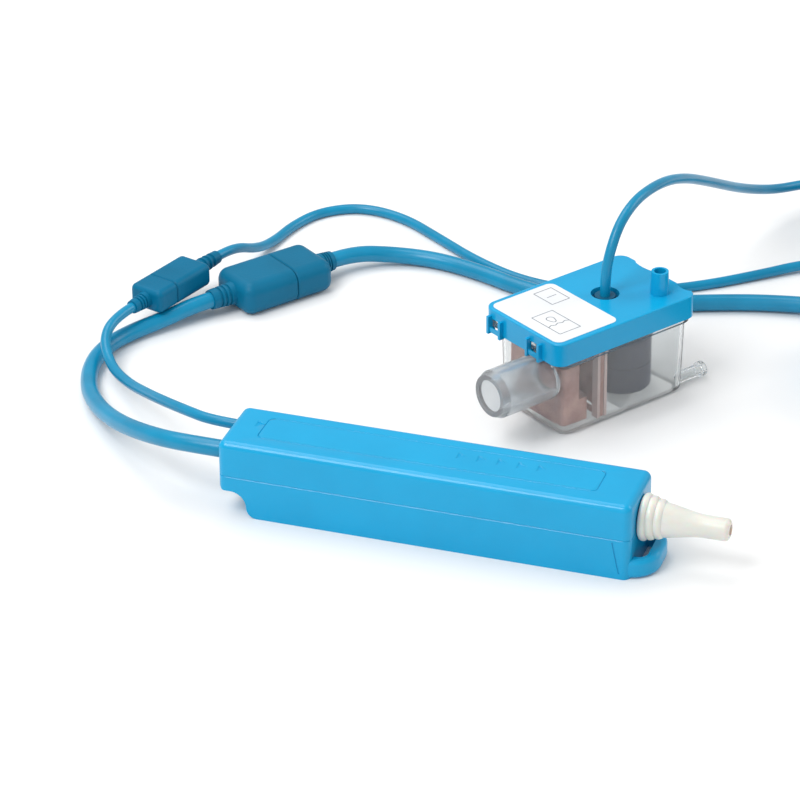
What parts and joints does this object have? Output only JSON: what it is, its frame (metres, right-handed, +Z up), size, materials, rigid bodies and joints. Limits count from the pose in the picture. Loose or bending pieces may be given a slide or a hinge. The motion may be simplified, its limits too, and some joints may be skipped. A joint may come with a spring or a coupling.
{
  "type": "condensate pump",
  "caption": "In-line condensate pump with a stepped blue case, silicone discharge adaptor and tie loop, wired to a clear float reservoir with a removable lid.",
  "frame": {"origin": "centre of the pump's flat underside", "axes": "+X along the pump towards its discharge end, +Z up; the reservoir stands on the same floor, turned 56.5 degrees about +Z"},
  "size_m": [0.3536, 0.3159, 0.0733],
  "materials": {
    "case_blue": "glossy sky blue moulding",
    "silicone": "translucent cream silicone",
    "clear_plastic": "clear moulded polycarbonate",
    "label_white": "bare printed film",
    "float_grey": "dark grey-blue foam float",
    "magnet": "ferrite",
    "filter_pink": "pink-brown filter foam",
    "guide_pink": "pale pink moulding",
    "housing_teal": "dark teal moulding",
    "connector_teal": "teal moulding",
    "connector_dark": "dark teal moulding",
    "lead_blue": "blue cable sheath",
    "core_set": "three core ends",
    "tie_black": "cable tie",
    "rubber_black": "black rubber",
    "bobbin_nylon": "natural nylon",
    "copper_winding": "enamelled copper wire",
    "plated_steel": "plated steel",
    "spring_steel": "spring steel",
    "valve_rubber": "valve rubber",
    "cylinder_acetal": "white acetal",
    "board_green": "circuit board",
    "component_dark": "moulded component"
  },
  "bodies": {
    "root": {"base_shell": "case_blue", "top_cover": "case_blue", "discharge_adaptor": "silicone", "inlet_spigot": "cylinder_acetal", "suction_hose": "silicone", "inlet_housing": "cylinder_acetal", "guide_tube": "plated_steel", "coil_bobbin": "bobbin_nylon", "coil_winding": "copper_winding", "yoke": "plated_steel", "pump_cylinder": "cylinder_acetal", "outlet_spigot": "cylinder_acetal", "main_spring": "spring_steel", "buffer_spring": "spring_steel", "outlet_valve_spring": "spring_steel", "cylinder_seal": "rubber_black", "rear_mount": "rubber_black", "front_mount": "rubber_black", "circuit_board": "board_green", "capacitor": "component_dark", "relay": "component_dark", "board_screws": "plated_steel", "power_gland": "rubber_black", "signal_gland": "rubber_black", "tank": "clear_plastic", "drain_spigot": "clear_plastic", "baffle_guides": "guide_pink", "inlet_filter": "filter_pink", "baffle": "filter_pink", "float_stem": "clear_plastic", "power_plug": "connector_teal", "power_socket": "connector_teal", "power_pins": "plated_steel", "signal_plug": "connector_dark", "signal_socket": "connector_dark", "signal_pins": "plated_steel", "power_lead": "lead_blue", "signal_lead": "lead_blue", "supply_lead": "lead_blue", "supply_lead_end": "lead_blue", "supply_coil": "lead_blue", "supply_cores": "core_set", "reservoir_lead_near": "lead_blue", "reservoir_coil": "lead_blue", "supply_tie": "tie_black", "reservoir_tie": "tie_black"},
    "lid": {"lid": "case_blue", "lid_seal": "rubber_black", "lid_label": "label_white", "sensor_housing": "housing_teal", "lead_gland": "rubber_black", "reservoir_lead_far": "lead_blue"},
    "float": {"water_float": "float_grey", "float_magnet": "magnet"},
    "piston": {"piston": "plated_steel", "valve_retainer": "cylinder_acetal", "inlet_valve_spring": "spring_steel"},
    "inlet_valve": {"inlet_valve": "valve_rubber"},
    "outlet_valve": {"outlet_valve": "valve_rubber"}
  },
  "joints": [
    {"name": "lid_lift", "type": "slide", "parent": "root", "child": "lid", "axis": [0, 0, 1], "range_m": [0, 0.03], "deforming": ["reservoir_lead_far"]},
    {"name": "float_slide", "type": "slide", "parent": "root", "child": "float", "axis": [0, 0, 1], "range_m": [0, 0.008]},
    {"name": "piston_stroke", "type": "slide", "parent": "root", "child": "piston", "axis": [1, 0, 0], "range_m": [-0.003, 0.003], "stiffness_N_per_m": 1500, "deforming": ["main_spring", "buffer_spring"]},
    {"name": "inlet_valve_lift", "type": "slide", "parent": "piston", "child": "inlet_valve", "axis": [1, 0, 0], "range_m": [0, 0.0008], "stiffness_N_per_m": 60, "deforming": ["inlet_valve_spring"]},
    {"name": "outlet_valve_lift", "type": "slide", "parent": "root", "child": "outlet_valve", "axis": [1, 0, 0], "range_m": [0, 0.0012], "stiffness_N_per_m": 120, "deforming": ["outlet_valve_spring"]}
  ]
}
